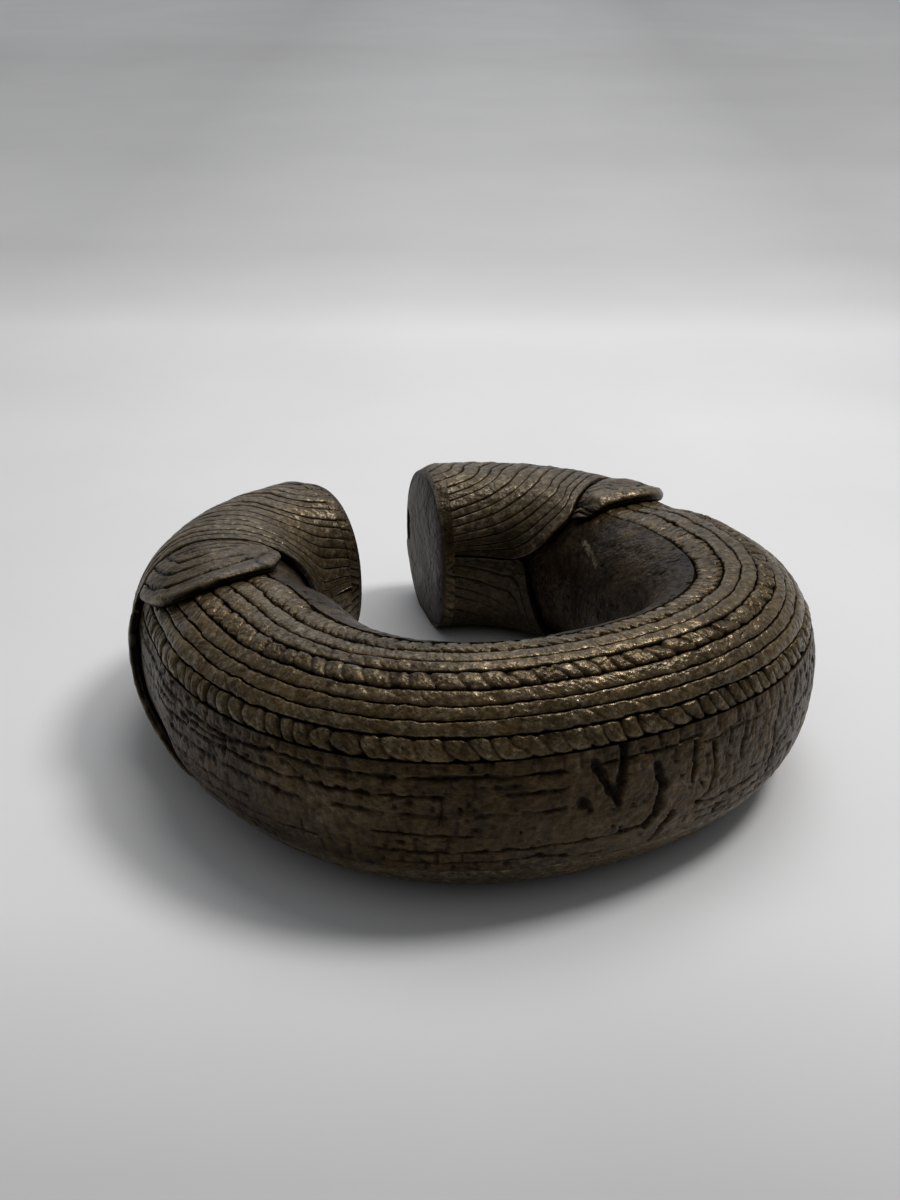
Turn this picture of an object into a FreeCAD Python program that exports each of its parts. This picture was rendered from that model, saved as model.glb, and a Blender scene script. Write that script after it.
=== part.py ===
import FreeCAD, Part
import math
import os

# A heavy open hoop bracelet of cast copper alloy, of the kind once passed as money.
# The metal is one casting, but its wax pattern was put together from many pieces, and
# each of those pieces is one solid here: the hollow hoop round its clay core, the cords
# laid along it, the thread wraps, their tongues, the collars and the end plates.
# The hoop lies flat on z = 0. Its opening faces +Y and X runs across it.
# A place on the hoop is given by two angles in degrees. "turn" goes round the hoop, from
# the middle of the opening by the side at -X. "around" goes round the bar's own section:
# 0 is the outer side, 90 the top, 180 the inner side and -90 the base. "rise" is a height
# in mm above the skin of the bar.

os.makedirs("parts", exist_ok=True)

# The hoop's middle line as seen from above: a circle drawn out from front to back.
hoop_radius = 43.0
oval_share = 0.054
lean_share = 0.0144
square_share = 0.029
opening_half_angle = 13.3

# The bar over all that lies on it, at the front, at the two sides and at the two ends.
front_width, side_width, end_width = 27.0, 36.0, 27.6
front_height, side_height, end_height = 38.6, 34.1, 32.2
section_fullness_share = 0.877
lower_width_share = 0.97
base_wear = 0.5

# The two ends are not quite alike: the left one is higher behind its wrap, the right one lower.
left_swell, right_swell = 1.7, -0.8
swell_end_angle = 110.0

# The cast shell and its core.
shell_wall = 3.0
base_middle_angle = 270.0
base_flat_half_angle = 13.0
band_wall_angle = 1.6
skin_step_angle = 19.0
core_sides = 9
station_step_angle = 8.2

# The cords laid in two sunk bands: the angles of the lines between them.
cord_height = 1.5
upper_cord_angles = [24.0, 36.0, 45.0, 53.5, 63.0, 75.0, 84.0, 92.0, 107.0]
lower_cord_angles = [-74.0, -58.0, -44.0, -32.0]
upper_cord_names = [
    "large_twisted_cord", "slender_twisted_cord", "outer_flat_cord", "middle_flat_cord",
    "small_twisted_cord", "inner_plain_cord", "inner_flat_cord", "inner_edge_cord",
]
lower_cord_names = ["base_cord", "low_cord", "belly_edge_cord"]
cord_shoulder_share = 0.16
cord_shoulder_drop_share = 0.3
twisted_cord_swell = 0.12
flat_cord_drop = 0.15

# The thread wraps. Each half is a skin of threads that leave the collar, sweep over the
# crown of the bar and end at the seam along its outer side.
wrap_clearance = 0.4
wrap_thickness = 1.15
thread_groove = 0.45
threads_in_wrap = 9
crown_angle = 85.0
first_reach_angle = 10.0
rim_lean_share = 0.25
rim_crowding_share = 1.3
thread_sweep_share = 2.6
edge_pull_share = 3.0
outer_seam_angle = 14.0
seam_share = 0.013
taper_start_angle, taper_end_angle = 74.0, 93.0
lower_reach_angle = 14.0

# The last thread of each half in places (turn, around), from the collar along the inner
# seam to the inner notch and on to the outer notch. In these tables and in the two for the
# tongues, around is counted from the outer side over that half's own crown, and turn from
# the opening. The inner seam of the right wrap lies higher than that of the left one.
left_upper_edge_angles = [
    (38.0, 180.0), (50.0, 166.0), (57.0, 147.0), (59.6, 125.0),
    (59.0, 100.0), (58.6, 75.0), (60.3, 50.0), (64.0, 25.0),
]
right_upper_edge_angles = [
    (38.0, 171.0), (50.5, 167.5), (61.0, 154.0), (66.0, 130.0),
    (61.5, 106.0), (58.0, 80.0), (59.5, 52.0), (64.0, 25.0),
]
left_lower_edge_angles = [
    (38.0, 180.0), (50.0, 166.0), (57.5, 147.0), (61.0, 122.0), (61.8, 95.0), (62.0, 68.0),
    (62.8, 40.0), (63.6, 8.0), (64.0, -25.0),
]
right_lower_edge_angles = [
    (38.0, 189.5), (50.5, 192.0), (56.5, 177.0), (60.8, 155.0), (61.8, 122.0), (62.0, 90.0),
    (62.6, 52.0), (63.6, 12.0), (64.0, -25.0),
]
slices_between_angles = 2

# The tongues: the line along each one's back and its free front line, in matching places
# from the inner corner to the outer tip. The lower one reaches further than the upper.
left_tongue_back_angles = [
    (62.0, 120.0), (60.5, 111.0), (59.8, 97.0), (59.3, 78.0), (60.2, 61.0), (61.8, 48.0), (64.6, 36.0),
]
left_tongue_front_angles = [
    (68.5, 120.0), (75.5, 112.0), (81.5, 96.0), (83.3, 78.0), (81.0, 60.0), (75.0, 43.0), (67.4, 33.0),
]
right_tongue_back_angles = [
    (67.4, 126.0), (65.0, 117.0), (62.5, 106.0), (60.6, 95.0), (59.1, 79.0), (59.8, 60.0), (62.6, 41.0),
]
right_tongue_front_angles = [
    (70.4, 123.0), (72.6, 114.0), (72.9, 103.0), (73.4, 91.0), (73.8, 77.0), (71.8, 61.0), (66.8, 43.0),
]
lower_tongue_back_angles = [
    (63.0, 120.0), (62.6, 105.0), (62.8, 85.0), (63.1, 65.0), (63.7, 45.0),
    (64.3, 28.0), (64.6, 14.0), (64.8, -3.0), (64.8, -22.0),
]
lower_tongue_front_angles = [
    (68.5, 120.0), (78.0, 112.0), (88.0, 94.0), (94.0, 68.0), (94.0, 43.0),
    (87.0, 25.0), (76.5, 14.0), (69.0, -3.0), (66.2, -22.0),
]
slices_on_tongue = 2
tongue_profile_shares = [
    (0.0, -1.0), (0.1, 0.0), (0.2, -1.0), (0.33, 0.0), (0.5, -0.4),
    (0.67, 0.0), (0.79, -1.0), (0.9, 0.5), (1.0, -0.6),
]
tongue_under_shares = [1.0, 0.8, 0.6, 0.4, 0.2, 0.0]

# The collars and the end plates.
collar_width = 2.4
collar_thickness = 1.25
collar_sides = 24
plate_thickness = 1.8
plate_edge_round = 0.7
pit_width = 4.0
pit_height = 7.0
pit_from_edge = 3.6
pit_overrun = 4.0

wrap_rise = wrap_clearance + wrap_thickness

# A short way along the middle line, for finding its direction.
probe_angle = 0.01


def from_opening(turn):
    """The shorter way round from the middle of the opening, in degrees."""
    return min(turn, 360.0 - turn)


def at_end(angle, at_right):
    """The turn of a place that is so many degrees from the opening at one of the ends."""
    return 360.0 - angle if at_right else angle


def under_wrap(turn, around):
    """1 where the bar is drawn in to make room for the wraps, falling smoothly to 0. The
    lower halves of the wraps reach further than the upper ones."""
    lowness = (1.0 - math.sin(math.radians(around))) / 2.0
    end = taper_end_angle + lower_reach_angle * lowness
    share = (end - from_opening(turn)) / (taper_end_angle - taper_start_angle)
    share = max(0.0, min(1.0, share))
    return share * share * (3.0 - 2.0 * share)


def along_hoop(front, side, end, turn):
    """A size that is given at the front, the sides and the ends, at some turn."""
    to_end = (1.0 + math.cos(math.radians(turn))) / 2.0
    straight = front * (1.0 - to_end) + end * to_end
    bow = side - (front + end) / 2.0
    return straight + 4.0 * bow * to_end * (1.0 - to_end)


def middle_line(turn):
    """The point of the hoop's middle line at some turn, seen from above."""
    a = math.radians(turn)
    stretch = oval_share * math.cos(2.0 * a) - lean_share * math.cos(3.0 * a)
    radius = hoop_radius * (1.0 + stretch - square_share * math.cos(4.0 * a))
    return FreeCAD.Vector(-radius * math.sin(a), radius * math.cos(a), 0.0)


def outward(turn):
    """The level unit vector across the bar, pointing away from the hoop's inside."""
    run = middle_line(turn + probe_angle) - middle_line(turn - probe_angle)
    return FreeCAD.Vector(run.y, -run.x, 0.0).normalize()


def swell(turn):
    """How much higher the bar is than it would be if the two ends were alike."""
    share = min(1.0, from_opening(turn) / swell_end_angle)
    most = left_swell if turn < 180.0 else right_swell
    return most * 4.0 * share * (1.0 - share)


def fuller(value, share):
    """A sine or cosine, changed so that the section is fuller than an ellipse."""
    return math.copysign(abs(value) ** share, value)


def place(turn, around, rise):
    """The point at a place on the hoop, at some height above the bar's own skin."""
    room = wrap_rise * under_wrap(turn, around)
    half_width = along_hoop(front_width, side_width, end_width, turn) / 2.0 - room
    full_height = along_hoop(front_height, side_height, end_height, turn) + swell(turn)
    half_height = full_height / 2.0 - room
    a = math.radians(around)
    width_share = section_fullness_share if math.sin(a) > 0.0 else lower_width_share
    across = (half_width + rise) * fuller(math.cos(a), width_share)
    vertical = (half_height + rise) * fuller(math.sin(a), section_fullness_share)
    height = full_height / 2.0 - base_wear + vertical
    point = middle_line(turn) + outward(turn) * across
    return FreeCAD.Vector(point.x, point.y, height)


def worn(point, floor):
    """The same point, but no lower than a worn base."""
    return FreeCAD.Vector(point.x, point.y, max(point.z, floor))


def closed_wire(points):
    return Part.makePolygon(points + [points[0]])


def flat_facets(near, far):
    """The strip between two sections of as many points. The bar bends both ways, so each
    four-sided patch is two flat facets, split along its shorter diagonal."""
    facets = []
    for i in range(len(near)):
        j = (i + 1) % len(near)
        if (near[i] - far[j]).Length <= (near[j] - far[i]).Length:
            halves = ([near[i], near[j], far[j]], [near[i], far[j], far[i]])
        else:
            halves = ([near[i], near[j], far[i]], [near[j], far[j], far[i]])
        facets += [Part.Face(closed_wire(corners)) for corners in halves]
    return facets


def strip_facets(outline):
    """The facets of an end that is a long bent strip: its two long sides are sewn together
    from the strip's first corner to its last."""
    facets = []
    low, high = 0, len(outline) - 1
    while high - low > 1:
        if (outline[low + 1] - outline[high]).Length <= (outline[high - 1] - outline[low]).Length:
            corners = [outline[low], outline[low + 1], outline[high]]
            low += 1
        else:
            corners = [outline[low], outline[high - 1], outline[high]]
            high -= 1
        facets.append(Part.Face(closed_wire(corners)))
    return facets


def faceted_solid(sections, hollow=None, bent_ends=False):
    """A solid through sections that follow one another, with a hollow through it if given."""
    faces = []
    for near, far in zip(sections, sections[1:]):
        faces += flat_facets(near, far)
    if hollow:
        for near, far in zip(hollow, hollow[1:]):
            faces += flat_facets(near, far)
    for end in (0, -1):
        if bent_ends:
            faces += strip_facets(sections[end])
        else:
            rims = [closed_wire(sections[end])] + ([closed_wire(hollow[end][::-1])] if hollow else [])
            faces.append(Part.Face(rims))
    skin = Part.makeShell(faces)
    skin.sewShape()
    solid = Part.makeSolid(skin)
    if solid.Volume < 0.0:
        solid.reverse()
    return solid


def station_turns(first, last):
    spans = round((last - first) / station_step_angle)
    return [first + (last - first) * i / spans for i in range(spans + 1)]


def angle_of(length, turn):
    """The turn that a length takes up along the hoop's middle line."""
    return math.degrees(length / middle_line(turn).Length)


def steps_between(first, last, step):
    count = max(1, round(abs(last - first) / step))
    return [first + (last - first) * i / count for i in range(count + 1)]


plate_back = opening_half_angle + angle_of(plate_thickness, opening_half_angle)
collar_back = plate_back + angle_of(collar_width, opening_half_angle)
bar_turns = station_turns(plate_back, 360.0 - plate_back)


def shell_section(turn):
    """The outside of the bar: smooth skin, two sunk bands for the cords and a worn base."""
    outline = []
    outer_skin = steps_between(
        lower_cord_angles[-1] + band_wall_angle, upper_cord_angles[0] - band_wall_angle, skin_step_angle
    )
    outline += [(around, 0.0) for around in outer_skin]
    outline += [(around, -cord_height) for around in upper_cord_angles]
    inner_skin = steps_between(
        upper_cord_angles[-1] + band_wall_angle,
        base_middle_angle - 2.0 * base_flat_half_angle,
        skin_step_angle,
    )
    outline += [(around, 0.0) for around in inner_skin]
    points = [place(turn, around, rise) for around, rise in outline]
    floor = wrap_rise * under_wrap(turn, base_middle_angle)
    for half_angle in (-base_flat_half_angle, base_flat_half_angle):
        side = place(turn, base_middle_angle + half_angle, 0.0)
        points.append(FreeCAD.Vector(side.x, side.y, floor))
    points += [place(turn, around, -cord_height) for around in lower_cord_angles]
    return [worn(point, floor) for point in points]


def core_section(turn):
    """The clay core, which is also the hollow of the shell."""
    step = 360.0 / core_sides
    depth = -(cord_height + shell_wall)
    return [place(turn, step * i, depth) for i in range(core_sides)]


def cord_section(turn, first, last, top):
    """A low rounded cord that fills its strip of the sunk band."""
    width = last - first
    shoulder = top - cord_height * cord_shoulder_drop_share
    outline = [
        (first, -cord_height),
        (first + width * cord_shoulder_share, shoulder),
        (first + width / 2.0, top),
        (last - width * cord_shoulder_share, shoulder),
        (last, -cord_height),
    ]
    return [place(turn, around, rise) for around, rise in outline]


def ring_section(turn, rise, floor):
    step = 360.0 / collar_sides
    return [worn(place(turn, step * i, rise), floor) for i in range(collar_sides)]


def make_shell():
    outside = [shell_section(turn) for turn in bar_turns]
    return faceted_solid(outside, hollow=[core_section(turn) for turn in bar_turns])


def make_core():
    return faceted_solid([core_section(turn) for turn in bar_turns])


def make_cord(first, last, top):
    return faceted_solid([cord_section(turn, first, last, top) for turn in bar_turns])


def make_collar(at_right):
    """A plain ring between the end plate and the threads."""
    turns = [at_end(angle, at_right) for angle in (plate_back, collar_back)]
    outside = [ring_section(turn, wrap_clearance + collar_thickness, 0.0) for turn in turns]
    floor = wrap_rise - wrap_clearance
    inside = [ring_section(turn, wrap_clearance, floor) for turn in turns]
    return faceted_solid(outside, hollow=inside)


def make_end_plate(at_right):
    """The plate that closes an end, with a softened edge. The right one has a casting hole."""
    rise = wrap_clearance + collar_thickness
    edge = opening_half_angle + angle_of(plate_edge_round, opening_half_angle)
    plate = faceted_solid([
        ring_section(at_end(opening_half_angle, at_right), rise - plate_edge_round, plate_edge_round),
        ring_section(at_end(edge, at_right), rise, 0.0),
        ring_section(at_end(plate_back, at_right), rise, 0.0),
    ])
    return plate.cut(pit_cutter()) if at_right else plate


def pit_cutter():
    """A tall slot with round ends, square to the end face and close to its outer edge."""
    face = at_end(opening_half_angle, True)
    across = outward(face)
    edge = place(face, 0.0, wrap_clearance + collar_thickness)
    centre = edge - across * pit_from_edge
    radius = pit_width / 2.0
    reach = FreeCAD.Vector(0.0, 0.0, pit_height / 2.0 - radius)
    side = across * radius
    tip = FreeCAD.Vector(0.0, 0.0, radius)
    along = (middle_line(face + probe_angle) - middle_line(face - probe_angle)).normalize()
    low, high = centre - reach, centre + reach
    slot = Part.Wire([
        Part.Arc(high + side, high + tip, high - side).toShape(),
        Part.LineSegment(high - side, low - side).toShape(),
        Part.Arc(low - side, low - tip, low + side).toShape(),
        Part.LineSegment(low + side, high + side).toShape(),
    ])
    cutter = Part.Face(slot).extrude(along * (2.0 * pit_overrun))
    cutter.translate(along * -pit_overrun)
    return cutter


def smooth_path(keys, slices):
    """Places on a smooth curve that passes through every key place."""
    before = [2.0 * a - b for a, b in zip(keys[0], keys[1])]
    after = [2.0 * a - b for a, b in zip(keys[-1], keys[-2])]
    padded = [before] + list(keys) + [after]
    path = [keys[0]]
    for corners in zip(padded, padded[1:], padded[2:], padded[3:]):
        for i in range(1, slices + 1):
            s = i / slices
            weights = (
                (-s + 2.0 * s ** 2 - s ** 3) / 2.0,
                (2.0 - 5.0 * s ** 2 + 3.0 * s ** 3) / 2.0,
                (s + 4.0 * s ** 2 - 3.0 * s ** 3) / 2.0,
                (s ** 3 - s ** 2) / 2.0,
            )
            turn = sum(w * corner[0] for w, corner in zip(weights, corners))
            around = sum(w * corner[1] for w, corner in zip(weights, corners))
            path.append((turn, around))
    return path


def crossing(edge):
    """How far from the opening a half's last thread crosses the crown of the bar."""
    for (turn, around), (next_turn, next_around) in zip(edge, edge[1:]):
        if next_around <= crown_angle:
            share = (around - crown_angle) / (around - next_around)
            return turn + (next_turn - turn) * share


def thread_path(share, edge):
    """The places along one thread of a half. share is 0 for the first thread, at the collar's
    outer side, and 1 for the last one, whose places are close to the edge's own."""
    last_thread_angle = crossing(edge)
    notch_turn, notch_around = edge[-1]
    seam_start = math.copysign(outer_seam_angle, notch_around)
    last_lean = (notch_turn - last_thread_angle) / (crown_angle - notch_around)
    lean = rim_lean_share + (last_lean - rim_lean_share) * share
    first_turn = collar_back - rim_lean_share * (crown_angle - seam_start - first_reach_angle)
    crown_turn = first_turn + (last_thread_angle - first_turn) * share
    along_seam = crown_turn - collar_back + lean * (crown_angle - seam_start)
    along_seam /= notch_turn - collar_back + lean * (notch_around - seam_start)
    seam_around = seam_start + (notch_around - seam_start) * along_seam
    if crown_turn > collar_back:
        reach = (crown_turn - collar_back) / (last_thread_angle - collar_back)
        start = crown_angle + (180.0 - crown_angle) * (1.0 - (1.0 - reach) ** rim_crowding_share)
    else:
        start = crown_angle - (collar_back - crown_turn) / lean
    path = []
    for i in range(len(edge)):
        around = start + (seam_around - start) * i / (len(edge) - 1)
        if around > crown_angle:
            bend = ((around - crown_angle) / (start - crown_angle)) ** thread_sweep_share
            turn = collar_back + (crown_turn - collar_back) * (1.0 - bend)
        else:
            turn = crown_turn + lean * (crown_angle - around)
        path.append((turn, around))
    return path


def make_wrap(edge_angles, side, at_right):
    """Half of the wrap at one end. The threads nearest to its edge are drawn towards it.
    side is 1 for the upper half and -1 for the lower one."""
    edge = smooth_path([(collar_back, edge_angles[0][1])] + edge_angles, slices_between_angles)
    last_path = thread_path(1.0, edge)
    shares = [i / (2 * threads_in_wrap) for i in range(2 * threads_in_wrap + 1)]
    threads = []
    for share in shares:
        pull = share ** edge_pull_share
        places = []
        for here, last, at_edge in zip(thread_path(share, edge), last_path, edge):
            turn, around = (h + (e - l) * pull for h, l, e in zip(here, last, at_edge))
            around += (crown_angle - around) * seam_share
            places.append((at_end(turn, at_right), side * around))
        threads.append(places)
    floor = wrap_rise - wrap_clearance
    sections = []
    for i in range(len(edge)):
        top = []
        for k, places in enumerate(threads):
            rise = wrap_rise - (thread_groove if k % 2 == 0 else 0.0)
            top.append(worn(place(*places[i], rise), 0.0))
        under = [worn(place(*places[i], wrap_clearance), floor) for places in threads[::2]]
        sections.append(top + under[::-1])
    return faceted_solid(sections, bent_ends=True)


def make_tongue(back_angles, front_angles, side, at_right):
    """The leaf-shaped tongue in front of a half's last thread, ridged like a coil of thread."""
    floor = wrap_rise - wrap_clearance
    backs = smooth_path(back_angles, slices_on_tongue)
    fronts = smooth_path(front_angles, slices_on_tongue)
    sections = []
    for back, front in zip(backs, fronts):

        def at(share, rise, low):
            turn, around = (b + (f - b) * share for b, f in zip(back, front))
            return worn(place(at_end(turn, at_right), side * around, rise), low)

        top = [at(share, wrap_rise + thread_groove * lift, 0.0) for share, lift in tongue_profile_shares]
        under = [at(share, wrap_clearance, floor) for share in tongue_under_shares]
        sections.append(top + under)
    return faceted_solid(sections, bent_ends=True)


pieces = {"hoop_shell": make_shell(), "clay_core": make_core()}

for node, first, last in zip(upper_cord_names, upper_cord_angles, upper_cord_angles[1:]):
    if "twisted" in node:
        cord_top = twisted_cord_swell
    else:
        cord_top = -flat_cord_drop if "flat" in node else 0.0
    pieces[node] = make_cord(first, last, cord_top)
for node, first, last in zip(lower_cord_names, lower_cord_angles, lower_cord_angles[1:]):
    pieces[node] = make_cord(first, last, -flat_cord_drop)

ends = [
    (
        "left", False, left_upper_edge_angles, left_lower_edge_angles,
        left_tongue_back_angles, left_tongue_front_angles,
    ),
    (
        "right", True, right_upper_edge_angles, right_lower_edge_angles,
        right_tongue_back_angles, right_tongue_front_angles,
    ),
]
for end, at_right, upper_edge_angles, lower_edge_angles, back_angles, front_angles in ends:
    pieces[f"{end}_upper_wrap"] = make_wrap(upper_edge_angles, 1.0, at_right)
    pieces[f"{end}_lower_wrap"] = make_wrap(lower_edge_angles, -1.0, at_right)
    pieces[f"{end}_upper_tongue"] = make_tongue(back_angles, front_angles, 1.0, at_right)
    pieces[f"{end}_lower_tongue"] = make_tongue(
        lower_tongue_back_angles, lower_tongue_front_angles, -1.0, at_right
    )
    pieces[f"{end}_collar"] = make_collar(at_right)
    pieces[f"{end}_end_plate"] = make_end_plate(at_right)

# All pieces move together, so that the origin lies under the middle of the hoop's outline.
depths = [corner.Y for shape in pieces.values() for corner in shape.Vertexes]
to_middle = FreeCAD.Vector(0.0, -(min(depths) + max(depths)) / 2.0, 0.0)
print("moved by", round(to_middle.y, 4), "mm along Y")

for node, shape in pieces.items():
    shape.translate(to_middle)
    shape.exportStep(f"parts/{node}.step")
    print(node, "valid", shape.isValid(), "solids", len(shape.Solids), "volume", round(shape.Volume, 1))
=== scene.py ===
import math

import bpy
import numpy as np
from mathutils import Matrix


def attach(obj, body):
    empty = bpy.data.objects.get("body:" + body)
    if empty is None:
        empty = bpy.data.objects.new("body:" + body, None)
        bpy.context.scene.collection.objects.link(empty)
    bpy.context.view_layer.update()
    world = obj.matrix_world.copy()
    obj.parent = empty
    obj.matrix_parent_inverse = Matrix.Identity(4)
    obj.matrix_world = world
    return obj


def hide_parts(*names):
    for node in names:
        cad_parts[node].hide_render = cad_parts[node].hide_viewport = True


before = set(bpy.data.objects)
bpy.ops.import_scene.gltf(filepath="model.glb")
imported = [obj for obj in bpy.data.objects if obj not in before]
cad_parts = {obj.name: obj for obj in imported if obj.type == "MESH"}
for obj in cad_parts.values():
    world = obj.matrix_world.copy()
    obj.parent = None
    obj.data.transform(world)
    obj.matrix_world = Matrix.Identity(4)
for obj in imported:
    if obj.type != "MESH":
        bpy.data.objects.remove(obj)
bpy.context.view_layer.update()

# The bar. On the real bracelet it is the cast body of the hoop: a smooth rubbed belly, a plain
# inner band, two sunk bands that the cords lie in and a base worn flat. It is copper alloy
# with a dark brown patina, cast in one with everything that lies on it.
hoop_radius = 43.0
oval_share, lean_share, square_share = 0.054, 0.0144, 0.029
front_width, side_width, end_width = 27.0, 36.0, 27.6
front_height, side_height, end_height = 38.6, 34.1, 32.2
section_fullness_share, lower_width_share = 0.877, 0.97
base_wear = 0.5
left_swell, right_swell, swell_end_angle = 1.7, -0.8, 110.0
right_foot, right_foot_turn, right_foot_span = 1.7, 74.0, 24.0
right_foot_around, right_foot_reach = 222.0, 26.0
taper_start_angle, taper_end_angle, lower_reach_angle = 74.0, 93.0, 14.0
wrap_clearance, wrap_thickness = 0.4, 1.15
wrap_rise = wrap_clearance + wrap_thickness
y_shift = 0.8251
skin_rise = -0.12
cord_height = 1.5
upper_cord_angles = [24.0, 36.0, 45.0, 53.5, 63.0, 75.0, 84.0, 92.0, 107.0]
lower_cord_angles = [-74.0, -58.0, -44.0, -32.0]
band_wall_angle = 0.5
plate_back_angle = 15.7
millimetre = 0.001


def unit(value):
    """A share, kept between 0 and 1."""
    return np.clip(value, 0.0, 1.0)


def eased(share):
    return share * share * (3.0 - 2.0 * share)


def from_opening(turn):
    return np.minimum(turn, 360.0 - turn)


def under_wrap(turn, around):
    end = taper_end_angle + lower_reach_angle * (1.0 - np.sin(np.radians(around))) / 2.0
    return eased(unit((end - from_opening(turn)) / (taper_end_angle - taper_start_angle)))


def along_hoop(front, side, end, turn):
    to_end = (1.0 + np.cos(np.radians(turn))) / 2.0
    bow = side - (front + end) / 2.0
    return front * (1.0 - to_end) + end * to_end + 4.0 * bow * to_end * (1.0 - to_end)


def middle_line(turn):
    a = np.radians(turn)
    stretch = oval_share * np.cos(2.0 * a) - lean_share * np.cos(3.0 * a) - square_share * np.cos(4.0 * a)
    radius = hoop_radius * (1.0 + stretch)
    return np.stack([-radius * np.sin(a), radius * np.cos(a)], axis=-1)


def swell(turn):
    share = unit(from_opening(turn) / swell_end_angle)
    return np.where(turn < 180.0, left_swell, right_swell) * 4.0 * share * (1.0 - share)


def fuller(value, share):
    return np.sign(value) * np.abs(value) ** share


def place(turn, around, rise, floor=None):
    """Points in mm at places on the hoop: round it, round its bar and above the bar's skin."""
    turn, around, rise = np.broadcast_arrays(
        np.asarray(turn, float), np.asarray(around, float), np.asarray(rise, float)
    )
    share = unit((right_foot_turn - from_opening(turn)) / right_foot_span) * (turn > 180.0)
    off = (around - right_foot_around + 180.0) % 360.0 - 180.0
    rise = rise + right_foot * share * share * (3.0 - 2.0 * share) * np.exp(-(off / right_foot_reach) ** 2)
    room = wrap_rise * under_wrap(turn, around)
    half_width = along_hoop(front_width, side_width, end_width, turn) / 2.0 - room
    middle_height = (along_hoop(front_height, side_height, end_height, turn) + swell(turn)) / 2.0
    a = np.radians(around)
    width_share = np.where(np.sin(a) > 0.0, section_fullness_share, lower_width_share)
    across = (half_width + rise) * fuller(np.cos(a), width_share)
    height = middle_height - base_wear + (middle_height - room + rise) * fuller(np.sin(a), section_fullness_share)
    run = middle_line(turn + 0.01) - middle_line(turn - 0.01)
    run = run / np.linalg.norm(run, axis=-1, keepdims=True)
    flat = middle_line(turn) + np.stack([run[..., 1], -run[..., 0]], axis=-1) * across[..., None]
    lowest = wrap_rise * under_wrap(turn, -90.0) if floor is None else floor
    return np.stack([flat[..., 0], flat[..., 1] + y_shift, np.maximum(height, lowest)], axis=-1)


def lumps(points, size, seed):
    """Smooth random unevenness from -1 to 1, with lumps of one size in mm."""
    cell = np.asarray(points) / size
    low = np.floor(cell).astype(np.int64)
    s = eased(cell - low)
    total = 0.0
    for corner in range(8):
        step = np.array([(corner >> k) & 1 for k in range(3)])
        key = (low + step) @ np.array([73856093, 19349663, 83492791]) + seed * 7919
        key = ((key ^ (key >> 13)) * 1274126177) & 0x7FFFFFFF
        key = ((key ^ (key >> 15)) * 668265263) & 0x7FFFFFFF
        value = (key ^ (key >> 12)) / float(0x7FFFFFFF) * 2.0 - 1.0
        total = total + np.prod(np.where(step == 1, s, 1.0 - s), axis=-1) * value
    return total


def layered(points, *layers):
    """Lumps of several sizes on one another. Each layer has its strength, its size in mm and its seed."""
    return sum(strength * lumps(points, size, seed) for strength, size, seed in layers)


def lumps_at(seed, *place_in_noise):
    """Lumps of size 1 at places given by three coordinates of their own."""
    return lumps(np.stack(np.broadcast_arrays(*place_in_noise), axis=-1), 1.0, seed)


def strip_end(loop):
    """Triangles that close a loop of point numbers which is a long strip."""
    faces, low, high = [], 0, len(loop) - 1
    while high - low > 1:
        if (low + len(loop) - 1 - high) % 2 == 0:
            faces.append((loop[low], loop[low + 1], loop[high]))
            low += 1
        else:
            faces.append((loop[low], loop[high - 1], loop[high]))
            high -= 1
    return faces


def grooves_across(phase, where, half_width, seed):
    """Narrow cuts at every whole number of a phase, each with a strength of its own, 0 to 1."""
    number = np.round(phase)
    near = unit(1.0 - np.abs(phase - number) / half_width) ** 0.8
    return near * unit(0.62 + 0.75 * lumps_at(seed, number * 1.73, where * 0.9, float(seed)))


def swept_mesh(name, sections, relief, bare_and_glint=None, ring=False, sharp_angle=50.0):
    """A closed skin through sections that follow one another, each a closed loop of points."""
    count, size = sections.shape[:2]
    i, j = np.meshgrid(np.arange(count if ring else count - 1), np.arange(size), indexing="ij")
    after, beside = (i + 1) % count, (j + 1) % size
    quads = np.stack([i * size + j, i * size + beside, after * size + beside, after * size + j], axis=-1)
    quads = quads.reshape(-1, 4)
    points = sections.reshape(-1, 3)
    corners = points[quads]
    volume = 0.0
    for b, c in ((1, 2), (2, 3)):
        volume += np.einsum("ij,ij->", corners[:, 0], np.cross(corners[:, b], corners[:, c]))
    faces = quads.tolist()
    if not ring:
        first = list(range(size))
        last = [(count - 1) * size + k for k in range(size)]
        faces += [face[::-1] for face in strip_end(first)] + strip_end(last)
    if volume < 0.0:
        faces = [face[::-1] for face in faces]
    mesh = bpy.data.meshes.new(name)
    mesh.from_pydata((points * millimetre).tolist(), [], faces)
    bare_and_glint = np.zeros(relief.shape) if bare_and_glint is None else bare_and_glint
    for attribute, values in (("relief", relief), ("bare_and_glint", bare_and_glint)):
        data = mesh.attributes.new(attribute, "FLOAT", "POINT").data
        data.foreach_set("value", np.ravel(values).astype(np.float32))
    mesh.shade_smooth()
    mesh.set_sharp_from_angle(angle=math.radians(sharp_angle))
    mesh.validate()
    return mesh


def put(name, mesh, material, slot, *nodes):
    piece = bpy.data.objects.new(name, mesh)
    bpy.context.scene.collection.objects.link(piece)
    mesh.materials.append(material)
    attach(piece, "root")
    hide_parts(*nodes)


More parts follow.
